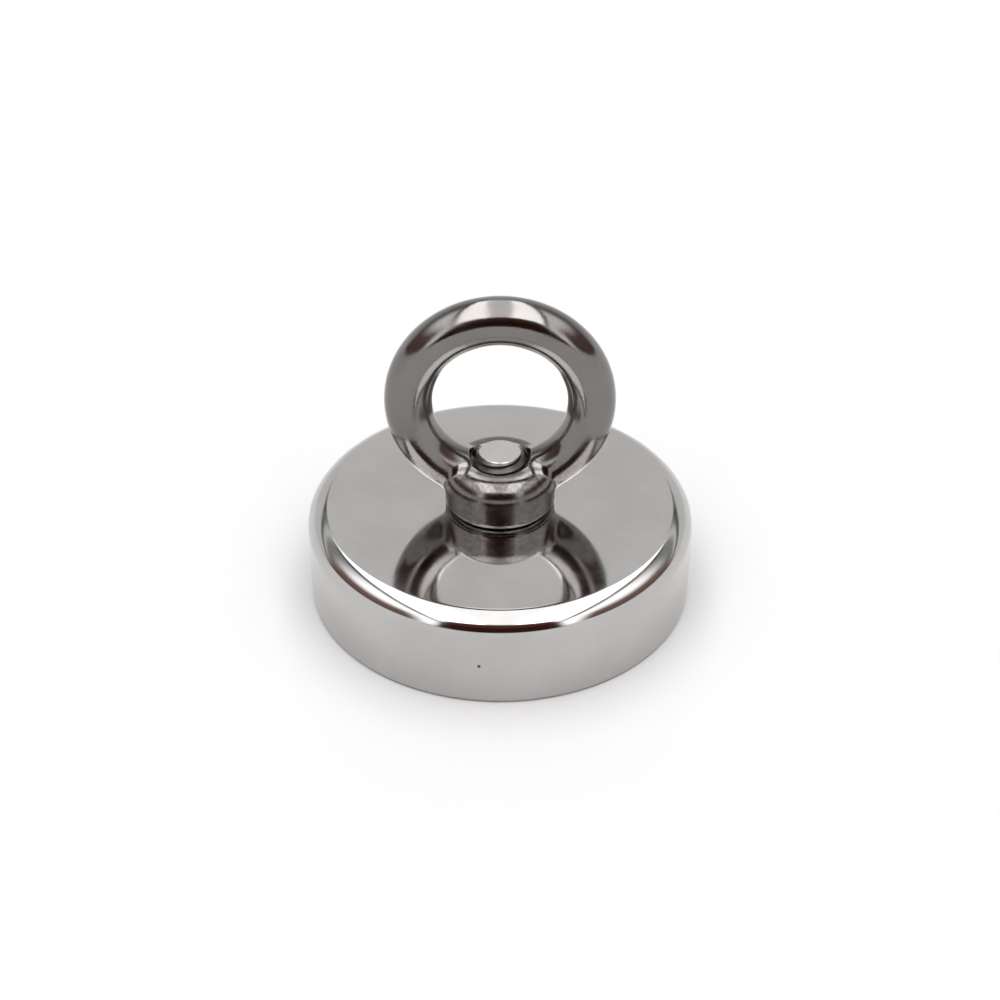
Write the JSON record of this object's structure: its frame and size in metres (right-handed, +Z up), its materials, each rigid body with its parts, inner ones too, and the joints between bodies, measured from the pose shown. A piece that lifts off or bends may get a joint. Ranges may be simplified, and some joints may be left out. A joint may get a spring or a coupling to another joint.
{
  "type": "magnet fishing magnet",
  "caption": "Single-sided round pot magnet with a bolted-on eye nut for a rope, used to lift steel objects out of water.",
  "frame": {"origin": "centre of the round holding face, on the plane that the object stands on", "axes": "+Z up along the bolt, out of the pot's flat top; +Y through the eye's opening; +X across the eye"},
  "size_m": [0.075, 0.075, 0.0635],
  "materials": {
    "pot_plating": "bright nickel plating over turned steel",
    "magnet_plating": "satin nickel plating on sintered magnet",
    "bond_glue": "cured structural glue",
    "potting_resin": "black cast epoxy resin",
    "core_steel": "turned steel, nickel plated",
    "bolt_plating": "bright plated steel",
    "eye_plating": "dark nickel plating over forged steel"
  },
  "bodies": {
    "pot": {"pot_shell": "pot_plating", "ring_magnet": "magnet_plating", "magnet_bond": "bond_glue", "outer_resin_ring": "potting_resin", "inner_resin_ring": "potting_resin", "centre_core": "core_steel"},
    "bolt": {"countersunk_bolt": "bolt_plating"},
    "eye": {"eye_nut": "eye_plating"}
  },
  "joints": [
    {"name": "bolt_turn", "type": "hinge", "parent": "pot", "child": "bolt", "pos_m": [0, 0, 0], "axis": [0, 0, -1], "range_deg": [0, 2880]},
    {"name": "eye_lift", "type": "slide", "parent": "pot", "child": "eye", "axis": [0, 0, 1], "range_m": [0, 0.012]}
  ],
  "couplings": [
    {"joint": "bolt_turn", "follows": "eye_lift", "rad_per_m": 4188.8}
  ]
}
